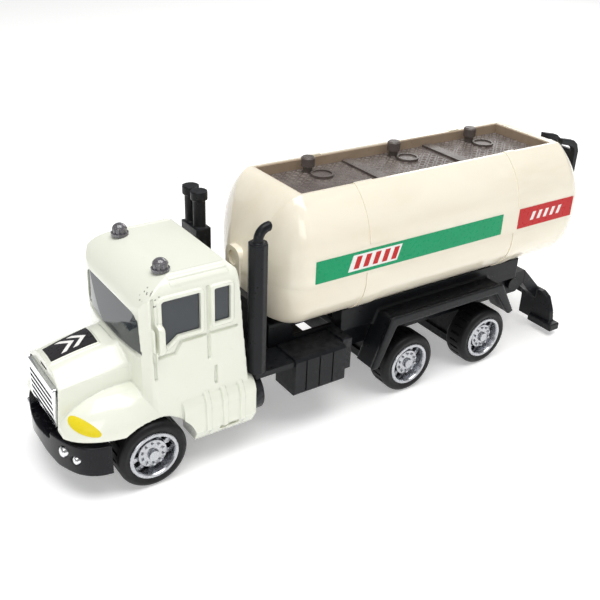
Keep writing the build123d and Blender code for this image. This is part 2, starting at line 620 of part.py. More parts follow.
def bed_frame():
    """Upper black moulding: mudguards over the rear wheels and the rails the tank sits on."""
    x = FRONT_AXLE_X
    guard_inner_y = BEARING_FACE_Y + 0.6
    guard = xz([(x - 63.2, 10.8), (x - 68.6, 24.6), (x - 108.4, 24.6), (x - 114.4, 14.7),
                (x - 113.0, 14.2), (x - 107.2, 22.6), (x - 69.8, 22.6), (x - 64.6, 10.8)],
               guard_inner_y, GUARD_OUTER_Y)
    lip = xz([(x - 62.6, 10.8), (x - 68.2, 25.0), (x - 108.8, 25.0), (x - 114.9, 14.7),
              (x - 113.0, 14.0), (x - 107.0, 22.2), (x - 70.2, 22.2), (x - 65.0, 10.8)],
             GUARD_OUTER_Y - 0.9, GUARD_OUTER_Y)
    rails = block(x - 121.5, x - 56.4, 8.4, 12.4, RAIL_TOP_Z, BED_TOP_Z)
    post = block(x - 43.5, x - 36, -9.7, 9.7, RAIL_TOP_Z, BED_TOP_Z)
    ties = [block(x + at - 2, x + at + 2, -9, 9, RAIL_TOP_Z, RAIL_TOP_Z + 2.4)
            for at in (-119.5, -109, -95, -81, -67, -58.3)]
    link = both_sides(block(x - 58, x - 36, 8.4, 9.7, RAIL_TOP_Z, RAIL_TOP_Z + 1.4))
    bed = both_sides(guard + lip + rails) + post + ties + link
    for sx in tank_screw_places():
        bed -= rod_z(sx, 0, 2.6, RAIL_TOP_Z - 1, TANK_BOTTOM_Z)
    return bed


def stack_panel():
    """Black ribbed panel behind the cab, between the stacks."""
    x = FRONT_AXLE_X
    panel = block(x - 28.8, x - 27.0, -9.6, STACK_Y - 2.5, 21.05, 39.5)
    ribs = [block(x - 29.3, x - 28.8, y - 0.6, y + 0.6, 24, 38) for y in (-5, 0, 5, 10)]
    return panel + ribs


def exhaust_stack():
    """Left stack: eight-sided muffler and a pipe that bends to the rear."""
    top = 54.6
    bottom = 21.05
    y = STACK_Y
    muffler = Pos(STACK_X, y, bottom) * extrude(RegularPolygon(2.35, 8), top - bottom)
    path = Line((STACK_X, y, top - 1), (STACK_X, y, top + 0.4)) + ThreePointArc(
        (STACK_X, y, top + 0.4), (STACK_X - 0.9, y, top + 2.6), (STACK_X - 3.0, y, top + 3.4))
    pipe = sweep(Plane(path @ 0, z_dir=(0, 0, 1)) * Circle(1.15), path)
    return muffler + pipe


def intake_stacks():
    """Right stacks: two tubes with mushroom caps on a common block."""
    x = STACK_X - 0.6
    stacks = block(x - 2.0, x + 2.0, -18.2, -9.9, 21.05, 47.6)
    for y in (-12.2, -16.6):
        stacks += rod_z(x, y, 1.6, 47, 55.2)
        stacks += rod_z(x, y, 2.15, 54.8, 57.0)
    return stacks


def rear_underrun():
    """Black guard under the tail: two arms, each with a lamp plate and a low bar."""
    x = FRONT_AXLE_X
    arm = xz([(x - 128.1, 21), (x - 131, 18.2), (x - 136.6, 12.6), (x - 136.6, 8.4), (x - 131, 13.4),
              (x - 128.1, 16.6)], RAIL_INNER_Y, RAIL_OUTER_Y)
    plate = yz([(4.2, 2.2), (4.2, 12.6), (11.8, 12.6), (14.1, 11.5), (16.2, 7.2), (16.8, 4.0),
                (18.6, 3.9), (18.6, 1.6), (9.2, 1.6), (9.2, 2.2)], x - 137.4, x - 135.4)
    bar = block(x - 138.2, x - 134.2, 9.2, 18.6, 1.6, 3.9)
    tie = block(x - 137.2, x - 135.6, -4.4, 4.4, 8.6, 11.4)
    return both_sides(arm + plate + bar) + tie


def axle_keepers():
    """Three caps that close the axle blocks from below, with sunk seats for their screws."""
    keepers = [block(ax - 4.4, ax + 4.4, -10.4, 10.4, KEEPER_BOTTOM_Z, KEEPER_TOP_Z)
               for ax in (FRONT_AXLE_X, MIDDLE_AXLE_X, REAR_AXLE_X)]
    holes = [rod_z(x, y, 0.75, 2, 12) + rod_z(x, y, SCREW_HEAD_R + 0.3, 2, KEEPER_SEAT_Z)
             for x, y in keeper_screw_places()]
    return Part() + keepers - holes


def keeper_screw_places():
    """The (x, y) of the two screws in each keeper."""
    return [(ax + 2.4, y) for ax in (FRONT_AXLE_X, MIDDLE_AXLE_X, REAR_AXLE_X)
            for y in (-KEEPER_SCREW_Y, KEEPER_SCREW_Y)]


def screw(x, y, head_z, length):
    """Cross-head screw driven upwards; head_z is the underside of its head."""
    head = rod_z(x, y, SCREW_HEAD_R, head_z - 0.9, head_z)
    cross = Pos(x, y, head_z - 0.8) * (Box(2.0, 0.4, 0.7) + Box(0.4, 2.0, 0.7))
    return head - cross + rod_z(x, y, 0.7, head_z - 0.1, head_z + length)


def base_screws():
    """All the screws on the underside."""
    screws = [screw(x, y, KEEPER_SEAT_Z, 4.3) for x, y in keeper_screw_places()]
    screws += [screw(x, 0, FRAME_SEAT_Z, 9.0) for x in tank_screw_places() + (FRONT_AXLE_X - 20.6,)]
    return Part() + screws


def write(name, shape):
    """Export one named part."""
    export_step(shape, f"parts/{name}.step")


def main():
    os.makedirs("parts", exist_ok=True)
    x = FRONT_AXLE_X
    nodes = {
        "cab_body": cab_body(),
        "cab_glazing": cab_glazing(),
        "roof_beacons": roof_beacons(),
        "grille": grille(),
        "front_bumper": front_bumper(),
        "fog_lamps": fog_lamps(),
        "hood_label": hood_label(),
        "tank_upper_shell": tank_upper_shell(),
        "tank_lower_shell": tank_lower_shell(),
        "tank_deck": tank_deck(),
        "filler_caps": filler_caps(),
        "green_labels": side_label(x - 104, x - 42.8, 41.4, 47.2),
        "red_labels": side_label(x - 132, x - 110.3, 41.6, 47.4),
        "rear_ladder": rear_ladder(),
        "chassis_frame": chassis_frame(),
        "bed_frame": bed_frame(),
        "stack_panel": stack_panel(),
        "exhaust_stack": exhaust_stack(),
        "intake_stacks": intake_stacks(),
        "rear_underrun": rear_underrun(),
        "axle_keepers": axle_keepers(),
        "base_screws": base_screws(),
    }
    wheelsets = (("front", FRONT_AXLE_X, FRONT_WHEEL_FACE_Y), ("middle", MIDDLE_AXLE_X, REAR_WHEEL_FACE_Y),
                 ("rear", REAR_AXLE_X, REAR_WHEEL_FACE_Y))
    for name, ax, face_y in wheelsets:
        nodes[f"{name}_axle"] = axle(ax, face_y)
        for side, side_name in ((1, "left"), (-1, "right")):
            nodes[f"{name}_{side_name}_rim"] = place_wheel(rim(), ax, face_y, side)
            nodes[f"{name}_{side_name}_tyre"] = place_wheel(tyre(), ax, face_y, side)
    for name, shape in nodes.items():
        write(name, shape)


if __name__ == "__main__":
    main()
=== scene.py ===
import json
import math

import bmesh
import bpy
from mathutils import Matrix, Vector
from mathutils.bvhtree import BVHTree


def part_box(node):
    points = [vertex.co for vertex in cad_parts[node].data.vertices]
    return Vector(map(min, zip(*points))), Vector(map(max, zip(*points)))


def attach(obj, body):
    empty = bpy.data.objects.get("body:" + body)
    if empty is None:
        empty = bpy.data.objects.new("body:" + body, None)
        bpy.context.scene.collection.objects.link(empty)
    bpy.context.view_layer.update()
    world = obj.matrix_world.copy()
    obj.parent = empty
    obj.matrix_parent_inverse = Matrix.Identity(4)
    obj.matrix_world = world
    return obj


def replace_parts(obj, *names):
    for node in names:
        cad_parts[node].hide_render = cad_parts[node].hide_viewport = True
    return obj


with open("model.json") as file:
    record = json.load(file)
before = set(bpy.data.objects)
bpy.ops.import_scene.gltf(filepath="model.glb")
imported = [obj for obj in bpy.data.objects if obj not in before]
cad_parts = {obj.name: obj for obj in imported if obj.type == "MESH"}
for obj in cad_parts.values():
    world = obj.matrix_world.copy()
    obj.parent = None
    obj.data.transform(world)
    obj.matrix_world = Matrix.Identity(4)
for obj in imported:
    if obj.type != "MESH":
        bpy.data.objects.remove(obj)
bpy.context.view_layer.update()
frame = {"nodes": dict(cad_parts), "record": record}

# Toy tanker truck: +X is forward, +Y is the truck's left side, +Z is up. Blender works in metres.
MM = 0.001
NODES = frame["nodes"]
AXLE_X = sum(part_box("front_axle"), Vector()).x / 2

# Black plastic reflects less than other plastic here: its soft texture scatters most of the light
BLACK_SHEEN = 0.22

# Prints lie this far off the surface, and their skirts reach this far into it
FIELD_LIFT_MM = 0.02
BAR_LIFT_MM = 0.04
CHEVRON_LIFT_MM = 0.03
PAINT_LIFT_MM = 0.03
SKIRT_DEPTH_MM = 0.05
# Points of a print are dropped on the surface from this far outside it
DROP_FROM_MM = 20


# ---------------------------------------------------------------- shader helpers

class Shader:
    """One node material: a Principled shader and the few textures these finishes share."""

    def __init__(self, name, **inputs):
        self.material = bpy.data.materials.new(name)
        self.material.use_nodes = True
        self.tree = self.material.node_tree
        self.tree.nodes.clear()
        self.output = self.tree.nodes.new("ShaderNodeOutputMaterial")
        self.bsdf = self.tree.nodes.new("ShaderNodeBsdfPrincipled")
        self.tree.links.new(self.bsdf.outputs[0], self.output.inputs["Surface"])
        self.place = self.tree.nodes.new("ShaderNodeTexCoord").outputs["Object"]
        for key, value in inputs.items():
            self.bsdf.inputs[key.replace("_", " ")].default_value = value

    def link(self, a, b):
        self.tree.links.new(a, b)

    def math(self, operation, a, b):
        node = self.tree.nodes.new("ShaderNodeMath")
        node.operation = operation
        for socket, value in zip(node.inputs, (a, b)):
            if isinstance(value, bpy.types.NodeSocket):
                self.link(value, socket)
            else:
                socket.default_value = value
        return node.outputs[0]

    def noise(self, size_mm, detail, distortion=0.0, stretch=None):
        """Noise whose features are about size_mm across."""
        node = self.tree.nodes.new("ShaderNodeTexNoise")
        node.inputs["Scale"].default_value = 1.0 / (size_mm * MM)
        node.inputs["Detail"].default_value = detail
        node.inputs["Distortion"].default_value = distortion
        self.link(self.stretched(stretch) if stretch else self.place, node.inputs["Vector"])
        return node.outputs["Fac"]

    def stretched(self, factors):
        """The place on the object, scaled along each axis so that a texture is drawn out."""
        node = self.tree.nodes.new("ShaderNodeMapping")
        node.inputs["Scale"].default_value = factors
        self.link(self.place, node.inputs["Vector"])
        return node.outputs[0]

    def spread(self, value, low, high, to_low, to_high):
        """value mapped from low..high to to_low..to_high, and held there."""
        node = self.tree.nodes.new("ShaderNodeMapRange")
        self.link(value, node.inputs["Value"])
        for key, number in zip(("From Min", "From Max", "To Min", "To Max"), (low, high, to_low, to_high)):
            node.inputs[key].default_value = number
        return node.outputs[0]

    def mix(self, factor, a, b):
        """Colour a where factor is 0, colour b where it is 1."""
        node = self.tree.nodes.new("ShaderNodeMix")
        node.data_type = "RGBA"
        self.link(factor, node.inputs["Factor"])
        for socket, value in zip((node.inputs[6], node.inputs[7]), (a, b)):
            if isinstance(value, bpy.types.NodeSocket):
                self.link(value, socket)
            else:
                socket.default_value = (*value, 1.0)
        return node.outputs[2]

    def colour(self, value):
        self.link(value, self.bsdf.inputs["Base Color"])

    def roughness(self, value):
        self.link(value, self.bsdf.inputs["Roughness"])

    def bump(self, height, depth_mm, strength):
        node = self.tree.nodes.new("ShaderNodeBump")
        node.inputs["Strength"].default_value = strength
        node.inputs["Distance"].default_value = depth_mm * MM
        self.link(height, node.inputs["Height"])
        self.link(node.outputs[0], self.bsdf.inputs["Normal"])

    def near(self, point, radius_mm):
        """1 at a point, falling to 0 at radius_mm."""
        node = self.tree.nodes.new("ShaderNodeVectorMath")
        node.operation = "DISTANCE"
        self.link(self.place, node.inputs[0])
        node.inputs[1].default_value = point
        return self.spread(node.outputs["Value"], 0.0, radius_mm * MM, 1.0, 0.0)

    def crease(self):
        """Near 1 in grooves and inside corners."""
        node = self.tree.nodes.new("ShaderNodeNewGeometry")
        return self.spread(node.outputs["Pointiness"], 0.40, 0.485, 1.0, 0.0)

    def edge(self):
        """Near 1 on sharp convex edges."""
        node = self.tree.nodes.new("ShaderNodeNewGeometry")
        return self.spread(node.outputs["Pointiness"], 0.52, 0.62, 0.0, 1.0)


# ---------------------------------------------------------------- finishes

def cab_enamel():
    """Thick glossy enamel over die-cast zinc, with a few chips at the corner of the roof, and painted
    shade in grooves.
    """
    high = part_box("cab_body")[1]
    s = Shader("cab_enamel", Specular_IOR_Level=0.5, Coat_Weight=0.6, Coat_Roughness=0.06)
    tone = s.mix(s.noise(14.0, 3.0), (0.80, 0.82, 0.70), (0.85, 0.865, 0.76))
    corner = Vector((high.x - 21.5 * MM, 14.6 * MM, high.z - 4.6 * MM))
    chip_field = s.math("MULTIPLY", s.near(corner, 4.0), s.spread(s.noise(0.9, 3.0), 0.54, 0.60, 0.0, 1.0))
    chips = s.spread(chip_field, 0.30, 0.40, 0.0, 1.0)
    grime = s.spread(s.noise(2.2, 5.0), 0.64, 0.78, 0.0, 0.2)
    base = s.mix(grime, tone, (0.66, 0.66, 0.55))
    # Painted shade: grooves and inside corners darkened to a grey-green, where shadow falls
    crease_shade = s.mix(s.math("MULTIPLY", s.crease(), 0.75), base, (0.30, 0.35, 0.31))
    s.colour(s.mix(chips, crease_shade, (0.03, 0.03, 0.03)))
    s.roughness(s.spread(s.noise(1.6, 4.0), 0.3, 0.7, 0.14, 0.26))
    peel = s.math("SUBTRACT", s.math("MULTIPLY", s.noise(0.9, 2.0), 0.6), s.math("MULTIPLY", chips, 2.0))
    s.bump(peel, 0.05, 0.25)
    return s.material


def tank_cream():
    """Glossy cream moulded plastic with faint flow marks and fine handling scratches."""
    s = Shader("tank_cream", Specular_IOR_Level=0.5, Coat_Weight=0.5, Coat_Roughness=0.08,
               Subsurface_Weight=0.08, Subsurface_Scale=1.5 * MM)
    s.bsdf.inputs["Subsurface Radius"].default_value = (1.0, 0.8, 0.5)
    flow = s.noise(11.0, 3.0, 0.6, stretch=(0.35, 1.0, 1.0))
    tone = s.mix(s.spread(flow, 0.3, 0.7, 0.0, 1.0), (0.83, 0.75, 0.60), (0.90, 0.84, 0.70))
    specks = s.spread(s.noise(0.5, 3.0), 0.76, 0.82, 0.0, 0.4)
    s.colour(s.mix(specks, tone, (0.50, 0.45, 0.36)))
    scratches = s.spread(s.noise(0.35, 5.0, 0.0, stretch=(0.12, 1.0, 1.0)), 0.55, 0.75, 0.0, 1.0)
    s.roughness(s.spread(scratches, 0.0, 1.0, 0.12, 0.27))
    s.bump(s.math("ADD", s.noise(5.0, 2.0), s.math("MULTIPLY", scratches, -0.05)), 0.06, 0.35)
    return s.material


def smoky_clear():
    """Smoke-tinted clear styrene."""
    s = Shader("smoky_clear", IOR=1.5, Transmission_Weight=0.25)
    s.colour(s.mix(s.noise(9.0, 2.0), (0.040, 0.048, 0.058), (0.058, 0.068, 0.080)))
    s.roughness(s.spread(s.noise(1.2, 4.0), 0.3, 0.7, 0.05, 0.13))
    s.bump(s.noise(4.0, 1.0), 0.05, 0.3)
    return s.material


def beacon_clear():
    """Smoky clear lamp plastic."""
    s = Shader("beacon_clear", IOR=1.5, Transmission_Weight=0.35, Coat_Weight=0.8, Coat_Roughness=0.04)
    s.colour(s.mix(s.noise(1.5, 3.0), (0.07, 0.065, 0.075), (0.24, 0.23, 0.25)))
    s.roughness(s.spread(s.noise(0.6, 3.0), 0.3, 0.7, 0.08, 0.22))
    s.bump(s.noise(0.5, 2.0), 0.03, 0.3)
    return s.material


def deck_smoke(name, lift):
    """Smoky brown moulding; lift makes a paler copy, a painted highlight on the tops of the tread."""
    s = Shader(name, Specular_IOR_Level=0.3)
    patches = s.spread(s.noise(6.0, 4.0, 0.8), 0.35, 0.65, 0.0, 1.0)
    s.colour(s.mix(patches, tuple(c * lift for c in (0.095, 0.078, 0.070)),
                   tuple(c * lift for c in (0.145, 0.122, 0.110))))
    s.roughness(s.spread(s.noise(0.8, 4.0), 0.3, 0.7, 0.22, 0.42))
    s.bump(s.noise(0.6, 3.0), 0.04, 0.4)
    return s.material


def deck_tan():
    """The thin edge of the deck moulding, where light comes through it."""
    s = Shader("deck_tan", Specular_IOR_Level=0.4)
    s.colour(s.mix(s.noise(3.0, 4.0), (0.34, 0.25, 0.17), (0.46, 0.36, 0.26)))
    s.roughness(s.spread(s.noise(0.8, 4.0), 0.3, 0.7, 0.25, 0.4))
    s.bump(s.noise(0.6, 3.0), 0.03, 0.4)
    return s.material


def plating(name, dark, light, rough_low, rough_high, speckle):
    """Vacuum plating: bright metal, slightly uneven, with pin specks where speckle is above 0."""
    s = Shader(name, Metallic=1.0)
    tone = s.mix(s.noise(1.8, 4.0), dark, light)
    specks = s.spread(s.noise(0.35, 2.0), 0.52, 0.64, 0.0, speckle)
    s.colour(s.mix(specks, tone, (0.16, 0.16, 0.17)))
    s.roughness(s.spread(s.noise(0.5, 4.0), 0.3, 0.7, rough_low, rough_high))
    s.bump(s.noise(0.35, 3.0), 0.03, 0.25 + 0.4 * speckle)
    return s.material


def black_plastic(name, dark, light, rough_low, rough_high, grain_mm, grain_depth):
    """Black moulded plastic: edges a little paler as a painted highlight, a fine grain, dust in patches.
    """
    s = Shader(name, Specular_IOR_Level=BLACK_SHEEN)
    tone = s.mix(s.noise(5.0, 4.0), dark, light)
    # Painted highlight: sharp convex edges turn paler in patches
    edge_highlight = s.math("MULTIPLY", s.edge(), s.spread(s.noise(1.3, 4.0), 0.4, 0.6, 0.0, 0.5))
    dusty = s.spread(s.noise(3.0, 6.0, 0.5), 0.62, 0.85, 0.0, 0.12)
    base = s.mix(dusty, tone, (0.022, 0.022, 0.024))
    s.colour(s.mix(edge_highlight, base, (0.045, 0.045, 0.05)))
    s.roughness(s.spread(s.noise(0.9, 5.0), 0.3, 0.7, rough_low, rough_high))
    s.bump(s.noise(grain_mm, 3.0), grain_depth, 0.5)
    return s.material


def axle_steel():
    """Drawn steel wire."""
    s = Shader("axle_steel", Metallic=1.0)
    drawn = s.noise(0.4, 4.0, 0.0, stretch=(1.0, 0.05, 1.0))
    s.colour(s.mix(drawn, (0.42, 0.42, 0.43), (0.62, 0.62, 0.63)))
    s.roughness(s.spread(drawn, 0.3, 0.7, 0.25, 0.45))
    s.bump(drawn, 0.02, 0.3)
    return s.material


def printed(name, dark, light):
    """Printed vinyl label or pad-printed paint: even colour with a faint screen and thin spots."""
    s = Shader(name, Specular_IOR_Level=0.2, Coat_Weight=0.05, Coat_Roughness=0.12)
    tone = s.mix(s.noise(3.5, 4.0), dark, light)
    thin = s.spread(s.noise(0.45, 4.0), 0.72, 0.85, 0.0, 0.05)
    s.colour(s.mix(thin, tone, tuple(min(1.0, c * 1.3 + 0.03) for c in light)))
    s.roughness(s.spread(s.noise(1.0, 4.0), 0.3, 0.7, 0.24, 0.36))
    s.bump(s.noise(0.5, 3.0), 0.02, 0.35)
    return s.material


FINISHES = {
    "cab_enamel": cab_enamel(),
    "tank_cream": tank_cream(),
    "smoky_clear": smoky_clear(),
    "beacon_clear": beacon_clear(),
    "deck_smoke": deck_smoke("deck_smoke", 1.0),
    # Paler copy of deck_smoke: painted highlight on the tops of the tread dashes
    "deck_smoke_lit": deck_smoke("deck_smoke_lit", 1.9),
    "deck_tan": deck_tan(),
    "bright_plating": plating("bright_plating", (0.74, 0.75, 0.77), (0.90, 0.91, 0.93), 0.06, 0.16, 0.0),
    "rim_plating": plating("rim_plating", (0.40, 0.41, 0.43), (0.56, 0.57, 0.60), 0.20, 0.32, 0.2),
    "lamp_plating": plating("lamp_plating", (0.72, 0.73, 0.75), (0.88, 0.89, 0.90), 0.14, 0.28, 0.15),
    "bumper_black": black_plastic("bumper_black", (0.005, 0.005, 0.007), (0.009, 0.009, 0.012),
                                  0.10, 0.20, grain_mm=0.8, grain_depth=0.02),
    "chassis_black": black_plastic("chassis_black", (0.005, 0.0055, 0.007), (0.010, 0.011, 0.013),
                                   0.26, 0.44, grain_mm=0.35, grain_depth=0.03),
    "tyre_black": black_plastic("tyre_black", (0.006, 0.006, 0.007), (0.012, 0.012, 0.013),
                                0.36, 0.55, grain_mm=0.5, grain_depth=0.04),
    "axle_steel": axle_steel(),
    "label_black": printed("label_black", (0.020, 0.019, 0.021), (0.035, 0.033, 0.036)),
    "label_green": printed("label_green", (0.000, 0.29, 0.115), (0.000, 0.34, 0.14)),
    "label_red": printed("label_red", (0.50, 0.010, 0.012), (0.58, 0.016, 0.016)),
    "label_white": printed("label_white", (0.84, 0.83, 0.80), (0.90, 0.89, 0.86)),
    "headlight_yellow": printed("headlight_yellow", (0.72, 0.58, 0.012), (0.80, 0.66, 0.030)),
}


# ---------------------------------------------------------------- pieces

def add_piece(name, mesh, finish):
    """Put a mesh in the scene as a named piece of the fixed body, with the given finish."""
    piece = bpy.data.objects.new(name, mesh)
    bpy.context.scene.collection.objects.link(piece)
    piece.data.materials.clear()
    piece.data.materials.append(FINISHES[finish])
    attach(piece, "root")
    return piece


def from_bmesh(bm, name):
    mesh = bpy.data.meshes.new(name)
    bm.to_mesh(mesh)
    bm.free()
    return mesh


def shade_smooth(mesh, angle=None):
    """Smooth shading, with edges sharper than angle degrees kept."""
    mesh.polygons.foreach_set("use_smooth", [True] * len(mesh.polygons))
    if angle:
        mesh.set_sharp_from_angle(angle=math.radians(angle))


def welded_copy(node):
    """A copy of a CAD node's mesh with its faces joined along their edges."""
    bm = bmesh.new()
    bm.from_mesh(NODES[node].data)
    bmesh.ops.remove_doubles(bm, verts=bm.verts, dist=0.002 * MM)
    for layer in list(bm.loops.layers.uv):
        bm.loops.layers.uv.remove(layer)
    return bm


def applied(piece):
    """The piece's mesh with its modifiers applied."""
    bpy.context.view_layer.update()
    evaluated = piece.evaluated_get(bpy.context.evaluated_depsgraph_get())
    return bpy.data.meshes.new_from_object(evaluated)


def softened(node, finish, voxel_mm, passes, most_faces):
    """Stand-in for a moulded CAD node with small radii on every edge, as the real casting has."""
    name = node + "_moulded"
    source = bpy.data.objects.new(name + "_source", from_bmesh(welded_copy(node), name + "_source"))
    bpy.context.scene.collection.objects.link(source)
    remesh = source.modifiers.new("voxels", "REMESH")
    remesh.mode = "VOXEL"
    remesh.voxel_size = voxel_mm * MM
    smooth = source.modifiers.new("smooth", "SMOOTH")
    smooth.factor = 0.5
    smooth.iterations = passes
    mesh = applied(source)
    if len(mesh.polygons) * 2 > most_faces:
        thin = source.modifiers.new("thin", "DECIMATE")
        thin.ratio = most_faces / (len(mesh.polygons) * 2.0)
        mesh = applied(source)
    bpy.data.objects.remove(source)
    mesh.name = name
    shade_smooth(mesh)
    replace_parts(add_piece(name, mesh, finish), node)


def dress_cad_nodes():
    """Every CAD node gets its slot's finish."""
    for entry in frame["record"]["subparts"]:
        data = NODES[entry["node"]].data
        data.materials.clear()
        data.materials.append(FINISHES[entry["material_slot"]])


dress_cad_nodes()

# Node, finish, voxel size in mm, smoothing passes and the most faces that the result may have
MOULDED = [("cab_body", "cab_enamel", 0.20, 2, 195000),
           ("front_bumper", "bumper_black", 0.22, 3, 60000),
           ("bed_frame", "chassis_black", 0.40, 1, 90000),
           ("exhaust_stack", "chassis_black", 0.20, 2, 40000),
           ("intake_stacks", "chassis_black", 0.20, 2, 40000),
           ("rear_ladder", "chassis_black", 0.18, 2, 60000),
           ("rear_underrun", "chassis_black", 0.22, 2, 50000)]
for node, finish, voxel, passes, most in MOULDED:
    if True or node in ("cab_body", "front_bumper"):
        softened(node, finish, voxel, passes, most)


# ---------------------------------------------------------------- prints laid on a surface

def surface_of(obj):
    """The object's surface, ready to drop points on."""
    bm = bmesh.new()
    bm.from_mesh(obj.data)
    tree = BVHTree.FromBMesh(bm)
    bm.free()
    return tree


def laid_on(tree, outline, origin, across, up, towards, lift_mm, name, cell_mm, dome_mm=0.0):
    """A thin skin on a surface, with a skirt that closes its edge. The outline's (u, v) millimetres are
    measured along across and up from origin, and each point drops along towards to the surface."""
    bm = bmesh.new()
    ring = [bm.verts.new((u * MM, v * MM, 0.0)) for u, v in outline]
    bm.faces.new(ring)
    us = [u for u, v in outline]
    vs = [v for u, v in outline]
    for values, normal in ((us, Vector((1, 0, 0))), (vs, Vector((0, 1, 0)))):
        low, high = min(values), max(values)
        steps = max(1, round((high - low) / cell_mm))
        for i in range(1, steps):
            at = (low + (high - low) * i / steps) * MM
            bmesh.ops.bisect_plane(bm, geom=bm.verts[:] + bm.edges[:] + bm.faces[:], plane_co=normal * at,
                                   plane_no=normal, dist=0.00001 * MM)
    middle = Vector(((min(us) + max(us)) / 2, (min(vs) + max(vs)) / 2)) * MM
    half = Vector(((max(us) - min(us)) / 2, (max(vs) - min(vs)) / 2)) * MM
    for vert in bm.verts:
        u, v = vert.co.x, vert.co.y
        reach = ((u - middle.x) / half.x) ** 2 + ((v - middle.y) / half.y) ** 2
        start = origin + across * u + up * v - towards * DROP_FROM_MM * MM
        hit = tree.ray_cast(start, towards)[0]
        if hit is None:
            raise RuntimeError(f"{name}: the surface isn't under point {u / MM:.1f}, {v / MM:.1f}")
        rise = lift_mm + dome_mm * max(0.0, 1.0 - reach)
        vert.co = hit - towards * rise * MM
    bmesh.ops.recalc_face_normals(bm, faces=bm.faces)
    if bm.faces[0].normal.dot(towards) > 0:
        bmesh.ops.reverse_faces(bm, faces=bm.faces)
    rim = [e for e in bm.edges if e.is_boundary]
    skirt = bmesh.ops.extrude_edge_only(bm, edges=rim)
    for vert in skirt["geom"]:
        if isinstance(vert, bmesh.types.BMVert):
            vert.co += towards * (lift_mm + SKIRT_DEPTH_MM) * MM
    return from_bmesh(bm, name)


def mirrored(mesh, name):
    """The mesh on the truck's other side."""
    bm = bmesh.new()
    bm.from_mesh(mesh)
    bmesh.ops.scale(bm, vec=(1, -1, 1), verts=bm.verts)
    bmesh.ops.reverse_faces(bm, faces=bm.faces)
    return from_bmesh(bm, name)


def slanted_bar(u, v, width, height, lean):
    """A parallelogram standing at u, v."""
    return [(u, v), (u + width, v), (u + width + lean, v + height), (u + lean, v + height)]


def chevron(u, v, width, height, thickness):
    """One arrow-like band that points along u."""
    tip = u + width
    middle = v + height / 2
    return [(u, v), (u + thickness, v), (tip + thickness, middle), (u + thickness, v + height),
            (u, v + height), (tip, middle)]


def side_prints(label, bars, backing):
    """Generic bars on the labels of both sides, and a white field behind them if backing is given."""
    tree = surface_of(NODES[label])
    low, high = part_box(label)
    origin = Vector((high.x, high.y, low.z))
    axes = (Vector((-1, 0, 0)), Vector((0, 0, 1)), Vector((0, -1, 0)))
    cell_mm = 3.0
    if backing:
        mesh = laid_on(tree, backing, origin, *axes, FIELD_LIFT_MM, f"{label}_field_left", cell_mm)
        add_piece(f"{label}_field_left", mesh, "label_white")
        add_piece(f"{label}_field_right", mirrored(mesh, f"{label}_field_right"), "label_white")
    finish = "label_red" if backing else "label_white"
    bm = bmesh.new()
    for outline in bars:
        bm.from_mesh(laid_on(tree, outline, origin, *axes, BAR_LIFT_MM, f"{label}_bar", cell_mm))
    left = from_bmesh(bm, f"{label}_bars_left")
    add_piece(f"{label}_bars_left", left, finish)
    add_piece(f"{label}_bars_right", mirrored(left, f"{label}_bars_right"), finish)


side_prints("green_labels", [slanted_bar(11.0 + 2.9 * i, 1.4, 1.6, 3.2, 1.0) for i in range(5)],
            slanted_bar(9.4, 0.9, 15.2, 4.2, 1.4))
side_prints("red_labels", [slanted_bar(4.6 + 2.6 * i, 1.8, 1.2, 2.4, 0.8) for i in range(5)], None)


def hood_print():
    """Two generic chevrons on the hood's label."""
    tree = surface_of(NODES["hood_label"])
    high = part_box("hood_label")[1]
    origin = Vector((high.x, 0, high.z))
    axes = (Vector((-1, 0, 0)), Vector((0, 1, 0)), Vector((0, 0, -1)))
    length = 2.6
    span = 4.6
    band = 1.3
    cell_mm = 0.8
    bm = bmesh.new()
    for u in (2.6, 5.4):
        outline = chevron(u, -span / 2, length, span, band)
        bm.from_mesh(laid_on(tree, outline, origin, *axes, CHEVRON_LIFT_MM, "hood_chevron", cell_mm))
    add_piece("hood_label_chevrons", from_bmesh(bm, "hood_label_chevrons"), "label_white")


hood_print()


def headlights():
    """Yellow pad-printed headlights on the fenders, a little proud as a thick coat of paint is."""
    tree = surface_of(bpy.data.objects["cab_body_moulded"])
    centre = Vector((AXLE_X + 14.85 * MM, 14.6 * MM, 19.3 * MM))
    towards = Vector((-0.80, -0.42, -0.43)).normalized()
    along = Vector((-0.56, 0.74, -0.30))
    along = (along - towards * along.dot(towards)).normalized()
    up = towards.cross(along)
    half_long = 4.2
    half_tall = 1.45
    points = 40
    turns = [2 * math.pi * i / points for i in range(points)]
    outline = [(half_long * math.cos(t), half_tall * math.sin(t)) for t in turns]
    mesh = laid_on(tree, outline, centre, along, up, towards, PAINT_LIFT_MM, "headlight_left",
                   cell_mm=0.5, dome_mm=0.2)
    sharp_degrees = 40
    shade_smooth(mesh, sharp_degrees)
    add_piece("headlight_left", mesh, "headlight_yellow")
    right = mirrored(mesh, "headlight_right")
    shade_smooth(right, sharp_degrees)
    add_piece("headlight_right", right, "headlight_yellow")


headlights()


# ---------------------------------------------------------------- deck tread

